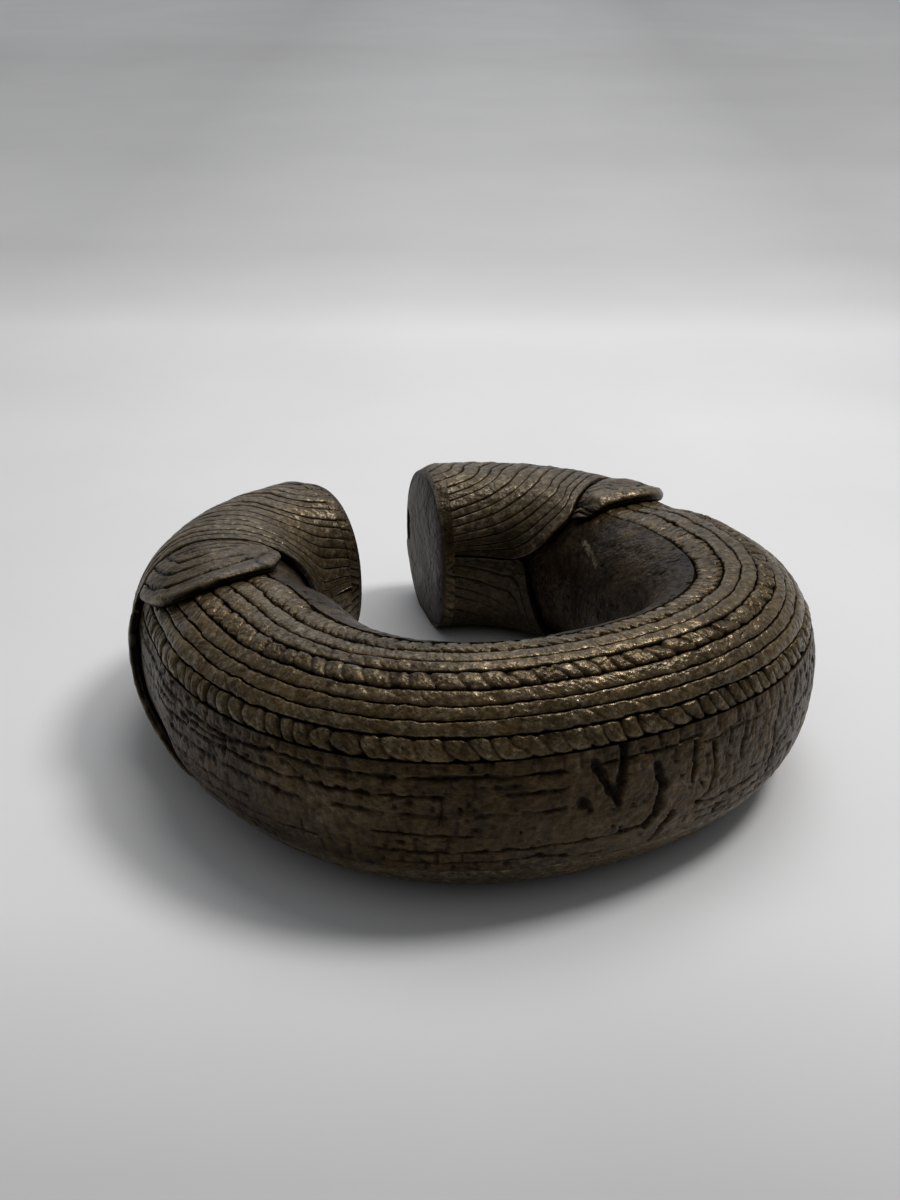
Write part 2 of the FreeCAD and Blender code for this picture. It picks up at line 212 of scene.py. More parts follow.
def patinated_bronze(name, shade, rub, grain, roughness):
    """Dark brown patina: black in the hollows, brown on the skin, rubbed bright on ridges and at bare marks, partly
    painted glints.
    """
    material = bpy.data.materials.new(name)
    material.use_nodes = True
    nodes, links = material.node_tree.nodes, material.node_tree.links
    shader = nodes["Principled BSDF"]
    where = nodes.new("ShaderNodeTexCoord").outputs["Object"]
    relief, bare_and_glint = nodes.new("ShaderNodeAttribute"), nodes.new("ShaderNodeAttribute")
    relief.attribute_name, bare_and_glint.attribute_name = "relief", "bare_and_glint"
    black, white = (0.0, 0.0, 0.0), (1.0, 1.0, 1.0)

    def noise(scale, detail, rough):
        node = nodes.new("ShaderNodeTexNoise")
        node.inputs["Scale"].default_value = scale
        node.inputs["Detail"].default_value = detail
        node.inputs["Roughness"].default_value = rough
        links.new(where, node.inputs["Vector"])
        return node.outputs["Fac"]

    def ramp(value, stops):
        node = nodes.new("ShaderNodeValToRGB")
        links.new(value, node.inputs["Fac"])
        while len(node.color_ramp.elements) < len(stops):
            node.color_ramp.elements.new(1.0)
        for element, (position, colour) in zip(node.color_ramp.elements, stops):
            element.position = position
            element.color = (*colour, 1.0)
        return node.outputs["Color"]

    def mix(kind, share, a, b):
        node = nodes.new("ShaderNodeMix")
        node.data_type = "RGBA"
        node.blend_type = kind
        for socket, value in ((node.inputs[0], share), (node.inputs[6], a), (node.inputs[7], b)):
            if isinstance(value, (int, float)):
                socket.default_value = value
            elif isinstance(value, tuple):
                socket.default_value = (*value, 1.0)
            else:
                links.new(value, socket)
        return node.outputs[2]

    def maths(kind, *values):
        node = nodes.new("ShaderNodeMath")
        node.operation = kind
        node.use_clamp = kind != "SUBTRACT"
        for socket, value in zip(node.inputs, values):
            if isinstance(value, (int, float)):
                socket.default_value = value
            else:
                links.new(value, socket)
        return node.outputs[0]

    clouds = ramp(noise(70.0, 6.0, 0.62), [
        (0.3, tuple(c * 0.6 for c in shade)), (0.5, shade), (0.7, tuple(c * 1.45 for c in shade)),
    ])
    specks = ramp(noise(750.0, 6.0, 0.72), [(0.36, (0.40, 0.36, 0.32)), (0.5, white), (0.66, (1.65, 1.6, 1.5))])
    skin = mix("MULTIPLY", 0.9, clouds, specks)
    hollow = ramp(relief.outputs["Fac"], [(0.05, (0.08, 0.07, 0.06)), (0.45, (0.5, 0.46, 0.42)), (0.8, white)])
    skin = mix("MULTIPLY", 1.0, skin, hollow)
    patches = ramp(noise(850.0, 6.0, 0.7), [(0.48, black), (0.66, white)])
    ridge = ramp(relief.outputs["Fac"], [(0.8, black), (1.0, white)])
    rubbed = maths("MULTIPLY", maths("MULTIPLY", patches, ridge), rub)
    # The bare marks: bright rubbed colour, real on the scratch and a painted glint along the tongues' front edges.
    rubbed = maths("MAXIMUM", rubbed, maths("MULTIPLY", bare_and_glint.outputs["Fac"], 0.9))
    colour = mix("MIX", rubbed, skin, (0.29, 0.235, 0.16))
    links.new(colour, shader.inputs["Base Color"])
    links.new(maths("ADD", maths("MULTIPLY", rubbed, 0.55), 0.38), shader.inputs["Metallic"])
    rough = maths("SUBTRACT", roughness, maths("MULTIPLY", rubbed, 0.08))
    links.new(rough, shader.inputs["Roughness"])
    sheen = maths("ADD", maths("MULTIPLY", relief.outputs["Fac"], 0.28), 0.02)
    links.new(sheen, shader.inputs["Specular IOR Level"])
    bump = nodes.new("ShaderNodeBump")
    bump.inputs["Strength"].default_value = grain
    bump.inputs["Distance"].default_value = 0.0006
    fine, coarse = maths("MULTIPLY", noise(1300.0, 2.0, 0.5), 0.4), maths("MULTIPLY", noise(450.0, 2.5, 0.55), 0.6)
    links.new(maths("ADD", fine, coarse), bump.inputs["Height"])
    links.new(bump.outputs["Normal"], shader.inputs["Normal"])
    return material


# Marks on the belly: grooves worn thin between old threads, then cracks, gouges and pits from
# use. Each has its half width and depth in mm and its run in (turn, around) on the bar.
worn_grooves = [
    (0.34, 0.42, [
        (66.0, 17.0), (86.0, 17.5), (106.0, 15.2), (120.0, 15.0), (126.0, 17.5),
        (138.0, 16.2), (152.0, 16.8), (166.0, 16.0), (174.0, 16.4),
    ]),
    (0.30, 0.36, [(66.0, 6.5), (85.0, 6.0), (99.0, 6.5), (110.0, 8.0), (126.0, 8.2), (137.0, 8.0), (150.0, 8.2)]),
    (0.28, 0.34, [(158.5, 8.0), (162.8, 8.4), (167.0, 8.0)]),
    (0.30, 0.34, [(84.0, -2.0), (99.0, 0.0), (112.0, 1.0), (123.0, 1.2), (131.0, 0.2)]),
    (0.32, 0.40, [(135.5, 1.0), (142.0, 0.6), (150.5, 0.2)]),
    (0.30, 0.36, [(154.0, 0.6), (160.0, 0.2), (166.5, 0.4)]),
    (0.26, 0.30, [(96.0, -9.0), (110.0, -7.5), (121.5, -8.0)]),
    (0.24, 0.26, [(141.0, -7.0), (148.0, -7.6), (154.0, -8.0)]),
    (0.26, 0.32, [(88.0, 11.5), (97.0, 11.8), (108.0, 11.6), (117.0, 12.4)]),
    (0.26, 0.30, [(92.0, -15.0), (103.0, -15.6), (113.0, -14.8), (124.0, -16.0), (133.0, -15.4)]),
    (0.24, 0.28, [(96.0, -22.5), (107.0, -23.4), (118.0, -22.6), (128.0, -24.0)]),
    (0.30, 0.40, [(141.0, -17.0), (148.3, -18.0), (157.6, -16.4), (165.7, -16.6), (173.0, -17.0), (179.8, -15.6)]),
    (0.28, 0.34, [(143.0, -25.0), (150.0, -25.0), (157.0, -24.0), (163.1, -22.0), (168.0, -26.0), (173.0, -28.0)]),
    (0.28, 0.30, [(176.0, 16.6), (181.0, 16.2), (188.8, 17.0)]),
    (0.24, 0.26, [(189.5, 13.0), (197.0, 14.5), (206.0, 13.5)]),
    (0.24, 0.30, [(188.5, -13.0), (194.0, -15.0), (199.5, -14.0), (204.3, -12.0), (212.0, -10.0)]),
    (0.24, 0.30, [(187.0, -18.5), (194.6, -21.0), (201.3, -20.0), (210.0, -19.0)]),
    (0.24, 0.26, [(191.0, -25.0), (200.0, -27.0), (212.0, -25.0)]),
]
gouges = [
    (1.05, 0.95, [(170.6, 17.5), (172.0, 9.5), (173.5, 3.0), (174.6, -1.0)]),
    (0.85, 0.75, [(175.7, 24.0), (175.4, 13.0), (174.8, 5.0), (174.5, -1.5)]),
    (0.95, 0.85, [(181.2, 10.5), (182.0, 2.0), (182.0, -5.0), (181.3, -11.0), (179.8, -16.0)]),
    (0.80, 0.70, [(184.6, -14.0), (183.2, -21.0), (181.5, -29.0)]),
    (0.45, 0.50, [(188.0, 14.5), (188.0, 6.0), (187.6, -1.0)]),
    (0.32, 0.42, [(191.7, 11.5), (191.6, 5.0), (192.3, 0.0), (191.7, -8.0)]),
    (0.30, 0.32, [(191.7, -8.0), (190.2, -10.5), (189.1, -15.0), (187.2, -22.0)]),
    (0.34, 0.40, [(205.8, 6.0), (205.9, -4.0), (205.5, -16.0), (205.3, -28.0)]),
    (0.26, 0.26, [(197.6, 21.0), (198.5, 12.0), (198.0, 4.0)]),
    (0.26, 0.30, [(213.2, 21.0), (212.8, 14.0), (210.8, 8.0), (211.8, -2.0)]),
    (0.26, 0.30, [(220.0, 20.0), (218.6, 12.0), (217.3, 3.0)]),
    (0.26, 0.30, [(216.4, 8.0), (212.0, 2.0), (209.0, -6.0)]),
    (0.30, 0.28, [(129.0, 14.0), (130.5, 10.5)]),
    (0.26, 0.26, [(189.0, -2.0), (189.9, -5.5)]),
]
pits = [
    (1.5, 0.85, 169.2, 0.2), (0.7, 0.6, 170.2, -2.6), (0.8, 0.6, 163.1, -22.0), (0.6, 0.5, 158.3, -26.5),
    (0.45, 0.35, 160.2, -8.0), (0.5, 0.4, 147.6, -8.0), (0.6, 0.45, 136.9, 0.8), (0.4, 0.35, 118.0, 3.0),
    (0.45, 0.35, 174.0, -12.0), (0.5, 0.4, 152.0, 3.0), (0.4, 0.3, 98.0, -3.0), (0.45, 0.35, 195.0, 2.0),
]


def sunk_along(turn, around, marks):
    """How deep the marks cut in at places on the bar, and how dark they are."""
    depth, dark = np.zeros(turn.shape), np.zeros(turn.shape)
    spot = place(turn, around, 0.0)
    for half_width, full_depth, run in marks:
        run = np.array(run, float)
        way = np.concatenate([[0.0], np.cumsum(np.abs(np.diff(run, axis=0)).max(axis=1))])
        ways = np.linspace(0.0, way[-1], max(2, int(way[-1] / 1.5) + 1))
        corners = place(np.interp(ways, way, run[:, 0]), np.interp(ways, way, run[:, 1]), 0.0)
        near = (turn > run[:, 0].min() - 2.5) & (turn < run[:, 0].max() + 2.5)
        near &= (around > run[:, 1].min() - 6.0) & (around < run[:, 1].max() + 6.0)
        points = spot[near]
        if len(points) == 0:
            continue
        points = points + 0.3 * np.stack([lumps(points, 1.6, seed) for seed in (9, 10, 11)], axis=-1)
        far = np.full(len(points), 99.0)
        for a, b in zip(corners[:-1], corners[1:]):
            share = unit(((points - a) @ (b - a)) / np.dot(b - a, b - a))
            far = np.minimum(far, np.linalg.norm(points - a - share[:, None] * (b - a), axis=-1))
        thin = half_width < 0.4
        uneven_width = half_width * (1.1 if thin else 0.85) * (1.0 + 0.6 * lumps(points, 1.8, 12))
        cut = unit(1.0 - far / uneven_width) ** 0.6
        worn_out = np.clip(1.2 + 0.8 * lumps(points, 4.5, 13), 0.6, 1.0) if thin else 1.0
        depth[near] = np.maximum(depth[near], cut * full_depth * worn_out)
        dark[near] = np.maximum(dark[near], cut ** 0.7 * worn_out)
    return depth, dark


bar_turns = np.concatenate([
    np.linspace(plate_back_angle, 59.0, 60), np.arange(60.0, 300.1, 0.3),
    np.linspace(301.0, 360.0 - plate_back_angle, 60),
])
belly = np.linspace(lower_cord_angles[-1] + band_wall_angle, upper_cord_angles[0] - band_wall_angle, 76)
inner_band = np.concatenate([[upper_cord_angles[-1] + band_wall_angle], np.arange(108.5, 246.0, 1.5)])
base = np.arange(248.0, 284.0, 5.0)
sunk_upper = np.linspace(upper_cord_angles[0], upper_cord_angles[-1], 12)
sunk_lower = np.linspace(lower_cord_angles[0], lower_cord_angles[-1], 6)
outline = np.concatenate([belly, sunk_upper, inner_band, base, sunk_lower])
sunk = np.concatenate([belly * 0, sunk_upper * 0 - cord_height, inner_band * 0, base * 0, sunk_lower * 0 - cord_height])
turn_grid, around_grid = np.meshgrid(bar_turns, outline, indexing="ij")
rise_grid = np.broadcast_to(sunk, turn_grid.shape) + skin_rise
flat = place(turn_grid, around_grid, rise_grid)
uneven = layered(flat, (0.10, 9.0, 1), (0.10, 3.0, 2), (0.09, 1.3, 3), (0.06, 0.7, 4))
pitted = unit(lumps(flat, 0.9, 5) - 0.38) * unit(0.55 + lumps(flat, 12.0, 6))
cut, dark_marks_and_band_shade, bare_skin = np.zeros(turn_grid.shape), np.zeros(turn_grid.shape), np.zeros(turn_grid.shape)
on_belly = slice(0, len(belly))
band_start = len(belly) + len(sunk_upper)
on_band = slice(band_start, band_start + len(inner_band))
pit_marks = [(size, depth, [(turn, around), (turn + 0.05, around)]) for size, depth, turn, around in pits]
for marks in (worn_grooves, gouges, pit_marks):
    more, darker = sunk_along(turn_grid[:, on_belly], around_grid[:, on_belly], marks)
    cut[:, on_belly] = np.maximum(cut[:, on_belly], more)
    dark_marks_and_band_shade[:, on_belly] = np.maximum(dark_marks_and_band_shade[:, on_belly], darker)
# Short cracks across the rows between the worn grooves, and a row of flat beads at the top.
belly_turn, belly_around, belly_flat = turn_grid[:, on_belly], around_grid[:, on_belly], flat[:, on_belly]
row = np.floor((belly_around + 34.0) / 8.3)
run = belly_turn * 0.9 + 2.2 * row + 0.8 * lumps(belly_flat, 5.0, 21)
short = grooves_across(run / 3.4, row, 0.10, 22) * unit(1.1 * lumps(belly_flat, 7.0, 23) + 0.45)
beads = grooves_across(run / 2.9, row, 0.14, 24) * (belly_around > 16.8)
beads = beads * unit((belly_turn - 100.0) / 10.0) * (belly_turn < 189.0)
crazed = grooves_across(belly_turn / 2.3 + 0.55 * lumps(belly_flat, 5.0, 26), np.floor(belly_around / 6.0), 0.10, 27)
crazed = crazed * unit((belly_turn - 186.0) / 12.0) * unit(0.6 + 0.9 * lumps(belly_flat, 4.0, 28))
short = np.maximum(np.maximum(short, 0.7 * beads), crazed) * np.clip((belly_turn - 78.0) / 40.0, 0.25, 1.0)
cut[:, on_belly] = np.maximum(cut[:, on_belly], 0.32 * short)
dark_marks_and_band_shade[:, on_belly] = np.maximum(dark_marks_and_band_shade[:, on_belly], 0.85 * short)
# A raised lip beside each gouge; on the inner band old streaks, one bright scratch and painted shade.
lips = [(size * 2.0, depth, run) for size, depth, run in gouges if size > 0.4]
near_gouge = sunk_along(belly_turn, belly_around, lips)[1]
lip = unit(near_gouge * (1.0 - near_gouge) * 4.0 - 0.3) * (cut[:, on_belly] < 0.08)
rise_grid = np.array(rise_grid)
rise_grid[:, on_belly] += 0.05 * lip
band_turn, band_around = turn_grid[:, on_band], around_grid[:, on_band]
streaks = lumps_at(31, band_turn * 0.6, band_around * 0.04, 0.0)
blotches = layered(flat[:, on_band], (1.0, 5.0, 33), (0.6, 2.0, 34))
cut[:, on_band] = 0.03
# Painted shade: the whole inner band is made darker, with the real streaks and blotches in it.
dark_marks_and_band_shade[:, on_band] = np.clip(0.52 + 0.10 * streaks + 0.30 * blotches, 0.0, 0.88)
scratches = [
    (0.42, 0.15, [(282.0, 135.0), (273.0, 141.0), (266.0, 147.0)]), (0.16, 0.08, [(282.9, 137.0), (273.6, 143.0)]),
]
scratch = sunk_along(band_turn, band_around, scratches)[1]
bare_skin[:, on_band] = 0.8 * scratch
dark_marks_and_band_shade[:, on_band] *= 1.0 - scratch
speck = sunk_along(band_turn, band_around, [(0.5, 0.4, [(234.0, 124.5), (234.4, 126.0)])])
cut[:, on_band] = np.maximum(cut[:, on_band], speck[0])
dark_marks_and_band_shade[:, on_band] = np.maximum(dark_marks_and_band_shade[:, on_band], speck[1])
rise_grid = rise_grid + np.minimum(uneven, 0.07) - 0.04 - pitted - cut
bar_relief = unit(0.80 + 1.5 * uneven - 1.0 * pitted) * (1.0 - 0.95 * dark_marks_and_band_shade)
worn_bronze = patinated_bronze("worn_bronze", (0.047, 0.0285, 0.0095), 0.3, 1.0, 0.40)
bar_mesh = swept_mesh("hoop_bar", place(turn_grid, around_grid, rise_grid), bar_relief, bare_skin)
put("hoop_bar", bar_mesh, worn_bronze, "worn_bronze", "hoop_shell")

# The clay core, burnt hard inside the casting. It stays as the solid model has it and shows
# nowhere on the whole bracelet.
fired_clay = bpy.data.materials.new("fired_clay")
fired_clay.use_nodes = True
clay_nodes, clay_links = fired_clay.node_tree.nodes, fired_clay.node_tree.links
clay_grain = clay_nodes.new("ShaderNodeTexNoise")
clay_grain.inputs["Scale"].default_value = 300.0
clay_shades = clay_nodes.new("ShaderNodeValToRGB")
clay_shades.color_ramp.elements[0].color = (0.16, 0.09, 0.055, 1.0)
clay_shades.color_ramp.elements[1].color = (0.36, 0.23, 0.15, 1.0)
clay_links.new(clay_nodes.new("ShaderNodeTexCoord").outputs["Object"], clay_grain.inputs["Vector"])
clay_links.new(clay_grain.outputs["Fac"], clay_shades.inputs["Fac"])
clay_links.new(clay_shades.outputs["Color"], clay_nodes["Principled BSDF"].inputs["Base Color"])
clay_nodes["Principled BSDF"].inputs["Roughness"].default_value = 0.95
clay_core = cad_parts["clay_core"]
clay_core.data.materials.clear()
clay_core.data.materials.append(fired_clay)

# The cords, once wax threads laid side by side in the sunk bands: flat ones, plain ones and
# twisted ones, cast in one with the bar and rubbed bright where they stand up.
corded_bronze = patinated_bronze("corded_bronze", (0.067, 0.045, 0.0175), 0.7, 0.9, 0.32)
cord_radius, finer_from_turn = 50.0, 189.3
# For each cord: length, bow and depth of its beads, how far they scallop its edges, then
# spacing, slant and depth of the strokes across it, in mm.
cord_looks = {
    "large_twisted_cord": (2.9, 0.14, 0.50, 0.40, 1.15, 1.0, 0.12),
    "slender_twisted_cord": (0.0, 0.0, 0.0, 0.05, 2.3, 1.3, 0.12),
    "outer_flat_cord": (0.0, 0.0, 0.0, 0.04, 1.7, -1.3, 0.13),
    "middle_flat_cord": (0.0, 0.0, 0.0, 0.04, 1.5, 1.1, 0.12),
    "small_twisted_cord": (3.3, 0.10, 0.44, 0.34, 1.8, -1.5, 0.26),
    "inner_plain_cord": (0.0, 0.0, 0.0, 0.05, 2.6, 0.8, 0.07),
    "inner_flat_cord": (0.0, 0.0, 0.0, 0.05, 1.4, 0.6, 0.10),
    "inner_edge_cord": (2.3, 0.20, 0.26, 0.40, 1.2, 0.9, 0.09),
}


def cord_line(k, turn, angles):
    """The wavering line between two cords that lie side by side."""
    line = angles[k]
    for strength, rate, spread, seed in ((0.6, 0.13, 3.7, 40), (0.35, 0.45, 5.1, 41), (0.22, 1.3, 7.3, 42)):
        line = line + strength * lumps_at(seed, turn * rate, spread * k, 0.0)
    return line


across_cord = np.array([
    0.0, 0.03, 0.07, 0.12, 0.19, 0.27, 0.36, 0.45, 0.55, 0.64, 0.73, 0.81, 0.88, 0.93, 0.97, 1.0,
])


def make_cord(name, k, angles, top, step, seed):
    cord_turns = np.arange(plate_back_angle, 360.0 - plate_back_angle + step / 2.0, step)
    cord_turns[-1] = 360.0 - plate_back_angle
    turn, share = np.meshgrid(cord_turns, across_cord, indexing="ij")
    first, last = cord_line(k, turn, angles), cord_line(k + 1, turn, angles)
    if k == 0 or k + 1 == len(angles) - 1:
        first, last = (angles[0] + 0.0 * turn, last) if k == 0 else (first, angles[-1] + 0.0 * turn)
    around = first + (last - first) * share
    spot = place(turn, around, 0.0)
    along = turn * math.radians(1.0) * cord_radius
    across = (share - 0.5) * (angles[k + 1] - angles[k]) * 0.32
    bead_length, bow, bead_depth, scallop, spacing, slant, stroke_depth = cord_looks.get(
        name, (0.0, 0.0, 0.0, 0.05, 2.0, 0.7, 0.06)
    )
    wander = layered(spot, (1.6, 9.0, seed + 1), (1.0, 3.5, seed + 6))
    between, size_of_bead = np.zeros_like(turn), np.zeros_like(turn)
    if bead_length:
        finer = 1.45 if name == "large_twisted_cord" else 1.0
        run = along + (finer - 1.0) * np.clip(along - math.radians(finer_from_turn) * cord_radius, 0.0, None)
        phase = (run + 0.5 * across - bow * across ** 2 + wander) / bead_length
        between = np.abs(2.0 * (phase % 1.0) - 1.0) ** 5.0
        size_of_bead = lumps_at(seed + 2, np.floor(phase) * 1.7, 0.0, float(seed))
    faded = np.clip(0.85 + 0.7 * lumps(spot, 14.0, seed + 4), 0.35, 1.0)
    jag = layered(spot, (0.10, 1.2, seed + 10), (0.07, 0.55, seed + 11))
    edge = np.abs(2.0 * share - 1.0) + scallop * between * np.where(share < 0.5, 1.0, 0.5) * faded + jag
    groove = unit(edge) ** 17.0 * np.clip(0.85 + 0.7 * lumps(spot, 5.0, seed + 12), 0.35, 1.0)
    crown = unit(np.abs(2.0 * share - 1.0)) ** 3.6
    strokes = grooves_across((along + slant * across + wander) / spacing, across, 0.16, seed + 3)
    strokes = strokes * np.clip(0.65 + lumps(spot, 6.0, seed + 5), 0.0, 1.1)
    rise = -0.8 * groove - (0.28 if bead_length else 0.18) * crown
    rise = rise - bead_depth * between * (1.0 - groove) * faded - stroke_depth * strokes
    rise = rise + bead_depth * 0.5 * np.minimum(size_of_bead, 0.0)
    rough = layered(spot, (0.11, 4.0, seed + 7), (0.14, 1.5, seed + 8), (0.10, 0.75, seed + 9))
    rise = rise + np.minimum(rough * (1.6 if bead_length else 1.0), 0.05)
    relief = unit(1.0 + (rise + 0.04) / 0.75) * (1.0 - 0.5 * strokes) * (1.0 - 0.75 * groove)
    rise = np.minimum(rise + top - 0.11, top - 0.05)
    rise[:, 0] = rise[:, -1] = -1.2
    under_turn, under_share = np.meshgrid(cord_turns, np.array([1.0, 0.5, 0.0]), indexing="ij")
    under_around = first[:, :3] * (1.0 - under_share) + last[:, :3] * under_share
    loops = np.concatenate([place(turn, around, rise), place(under_turn, under_around, -cord_height)], axis=1)
    marks = np.concatenate([relief, np.zeros_like(under_turn)], axis=1)
    put(name + "_bronze", swept_mesh(name, loops, marks), corded_bronze, "corded_bronze", name)


cord_tops = [0.12, 0.08, -0.10, -0.10, 0.12, 0.0, -0.10, 0.0]
for k, cord_name in enumerate(cord_looks):
    make_cord(cord_name, k, upper_cord_angles, cord_tops[k], 0.25, 200 + 10 * k)
for k, cord_name in enumerate(["base_cord", "low_cord", "belly_edge_cord"]):
    make_cord(cord_name, k, lower_cord_angles, -0.15, 0.5, 300 + 10 * k)

# The thread wraps. Each half is a skin of threads that leave the collar, sweep over the crown
# of the bar and end at the seam along its outer side. Cast with the bar, worn by handling.
threaded_bronze = patinated_bronze("threaded_bronze", (0.055, 0.0375, 0.0165), 0.6, 0.8, 0.36)
collar_back_angle = 18.9
threads_in_wrap = 18
crown_angle, first_reach_angle = 85.0, 10.0
rim_lean_share, rim_crowding_share, thread_sweep_share = 0.25, 1.4, 2.6
edge_pull_share, outer_seam_angle, seam_share = 3.0, 14.0, 0.013
wrap_edges = {
    "left_upper_wrap": [
        (38.0, 180.0), (50.0, 166.0), (57.0, 147.0), (59.6, 125.0),
        (59.0, 100.0), (58.6, 75.0), (60.3, 50.0), (64.0, 25.0),
    ],
    "right_upper_wrap": [
        (38.0, 171.0), (50.5, 167.5), (61.0, 154.0), (66.0, 130.0),
        (61.5, 106.0), (58.0, 80.0), (59.5, 52.0), (64.0, 25.0),
    ],
    "left_lower_wrap": [
        (38.0, 180.0), (50.0, 166.0), (57.5, 147.0), (61.0, 122.0), (61.8, 95.0), (62.0, 68.0),
        (62.8, 40.0), (63.6, 8.0), (64.0, -25.0),
    ],
    "right_lower_wrap": [
        (38.0, 189.5), (50.5, 192.0), (56.5, 177.0), (60.8, 155.0), (61.8, 122.0), (62.0, 90.0),
        (62.6, 52.0), (63.6, 12.0), (64.0, -25.0),
    ],
}


def smooth_path(keys, slices):
    keys = np.asarray(keys, float)
    padded = np.vstack([2.0 * keys[0] - keys[1], keys, 2.0 * keys[-1] - keys[-2]])
    path = [keys[0]]
    for k in range(len(keys) - 1):
        a, b, c, d = padded[k:k + 4]
        for i in range(1, slices + 1):
            s = i / slices
            path.append((
                a * (-s + 2.0 * s ** 2 - s ** 3) + b * (2.0 - 5.0 * s ** 2 + 3.0 * s ** 3)
                + c * (s + 4.0 * s ** 2 - 3.0 * s ** 3) + d * (s ** 3 - s ** 2)
            ) / 2.0)
    return np.array(path)


def thread_path(share, edge):
    last_thread_angle = np.interp(-crown_angle, -edge[:, 1], edge[:, 0])
    notch_turn, notch_around = edge[-1]
    seam_start = math.copysign(outer_seam_angle, notch_around)
    last_lean = (notch_turn - last_thread_angle) / (crown_angle - notch_around)
    lean = rim_lean_share + (last_lean - rim_lean_share) * share
    first_turn = collar_back_angle - rim_lean_share * (crown_angle - seam_start - first_reach_angle)
    crown_turn = first_turn + (last_thread_angle - first_turn) * share
    along_seam = crown_turn - collar_back_angle + lean * (crown_angle - seam_start)
    along_seam /= notch_turn - collar_back_angle + lean * (notch_around - seam_start)
    seam_around = seam_start + (notch_around - seam_start) * along_seam
    if crown_turn > collar_back_angle:
        reach = min((crown_turn - collar_back_angle) / (last_thread_angle - collar_back_angle), 1.0)
        start = crown_angle + (180.0 - crown_angle) * (1.0 - (1.0 - reach) ** rim_crowding_share)
    else:
        start = crown_angle - (collar_back_angle - crown_turn) / lean
    around = start + (seam_around - start) * np.linspace(0.0, 1.0, len(edge))
    bend = unit((around - crown_angle) / max(start - crown_angle, 1e-6)) ** thread_sweep_share
    swept = collar_back_angle + (crown_turn - collar_back_angle) * (1.0 - bend)
    turn = np.where(around > crown_angle, swept, crown_turn + lean * (crown_angle - around))
    return np.stack([turn, around], axis=-1)


def wrap_edge(name):
    """The free edge of half a wrap, as places on the hoop from the collar to the notch."""
    keys = wrap_edges[name]
    return smooth_path([(collar_back_angle, keys[0][1])] + keys, 14)


def at_end(turn, at_right):
    return 360.0 - turn if at_right else turn


across_thread = np.array([0.0, 0.05, 0.12, 0.22, 0.36, 0.5, 0.64, 0.78, 0.88, 0.95])


def make_wrap(name, half, at_right, seed):
    edge = wrap_edge(name)
    thread = np.append(np.add.outer(np.arange(threads_in_wrap), across_thread).ravel(), threads_in_wrap)
    inside = thread % 1.0
    uneven_line = np.random.default_rng(seed).uniform(-0.2, 0.2, threads_in_wrap + 1)
    uneven_line[0] = uneven_line[-1] = 0.0
    shares = (thread + np.interp(thread, np.arange(threads_in_wrap + 1), uneven_line)) / threads_in_wrap
    last = thread_path(1.0, edge)
    paths = np.array([thread_path(share, edge) + (edge - last) * share ** edge_pull_share for share in shares])
    turn = at_end(paths[..., 0].T, at_right)
    around = half * (paths[..., 1] + (crown_angle - paths[..., 1]) * seam_share).T
    spot = place(turn, around, wrap_rise)
    inner = unit((thread - 0.5) * 2.0) * unit((threads_in_wrap - 0.5 - thread) * 2.0)
    near_edge = unit((thread - threads_in_wrap + 1.0) * 2.0) * unit((50.0 - from_opening(turn)) / 8.0)
    free = np.ones(turn.shape)
    free[:2] = free[-2:] = 0.0
    around = around + inner * free * layered(spot, (0.2, 6.0, seed + 2), (0.12, 2.5, seed + 3))
    around = around + half * 0.25 * near_edge * (thread > threads_in_wrap - 0.5)
    spot = place(turn, around, wrap_rise)
    worn_flat = unit(0.5 + 1.1 * lumps(spot, 9.0, seed + 4))
    if half > 0:
        worn_flat = 0.45 * worn_flat
    rounded = np.abs(2.0 * inside - 1.0)[None, :] ** (4.5 + 4.0 * worn_flat)
    depth = 0.58 - 0.22 * worn_flat + 0.10 * lumps(spot, 5.0, seed + 5)
    # The right lower wrap has fainter threads, and its colour is also darkened all over as painted shade.
    faint_and_shaded = 0.5 if name == "right_lower_wrap" else 1.0
    depth = depth * faint_and_shaded
    groove = depth * (1.0 - np.sqrt(unit(1.0 - rounded))) * (1.0 - near_edge)
    height = np.random.default_rng(seed + 7).uniform(-0.16, 0.0, threads_in_wrap + 1)[np.floor(thread).astype(int)]
    rough = layered(spot, (0.10, 4.0, seed), (0.09, 1.3, seed + 1), (0.06, 0.7, seed + 6))
    rise = wrap_rise - 0.05 - groove + height[None, :] * (1.0 - rounded) + np.minimum(rough, 0.05)
    relief = unit(1.0 + (rise - wrap_rise + 0.14) / 0.5) * faint_and_shaded
    if name == "right_upper_wrap":
        low_end = unit((thread - threads_in_wrap + 4.5) / 4.0) * unit((56.0 - from_opening(turn)) / 12.0)
        relief = relief * (1.0 - 0.5 * low_end)
    top = place(turn, around, rise, 0.0)
    under = place(turn[:, ::10], around[:, ::10], wrap_clearance, wrap_rise - wrap_clearance)[:, ::-1]
    loops = np.concatenate([top, under], axis=1)
    marks = np.concatenate([relief, np.full(under.shape[:2], 0.25)], axis=1)
    put(name + "_bronze", swept_mesh(name, loops, marks), threaded_bronze, "threaded_bronze", name)


for at_right, end_name in ((False, "left"), (True, "right")):
    make_wrap(end_name + "_upper_wrap", 1.0, at_right, 100 + 20 * at_right)
    make_wrap(end_name + "_lower_wrap", -1.0, at_right, 110 + 20 * at_right)

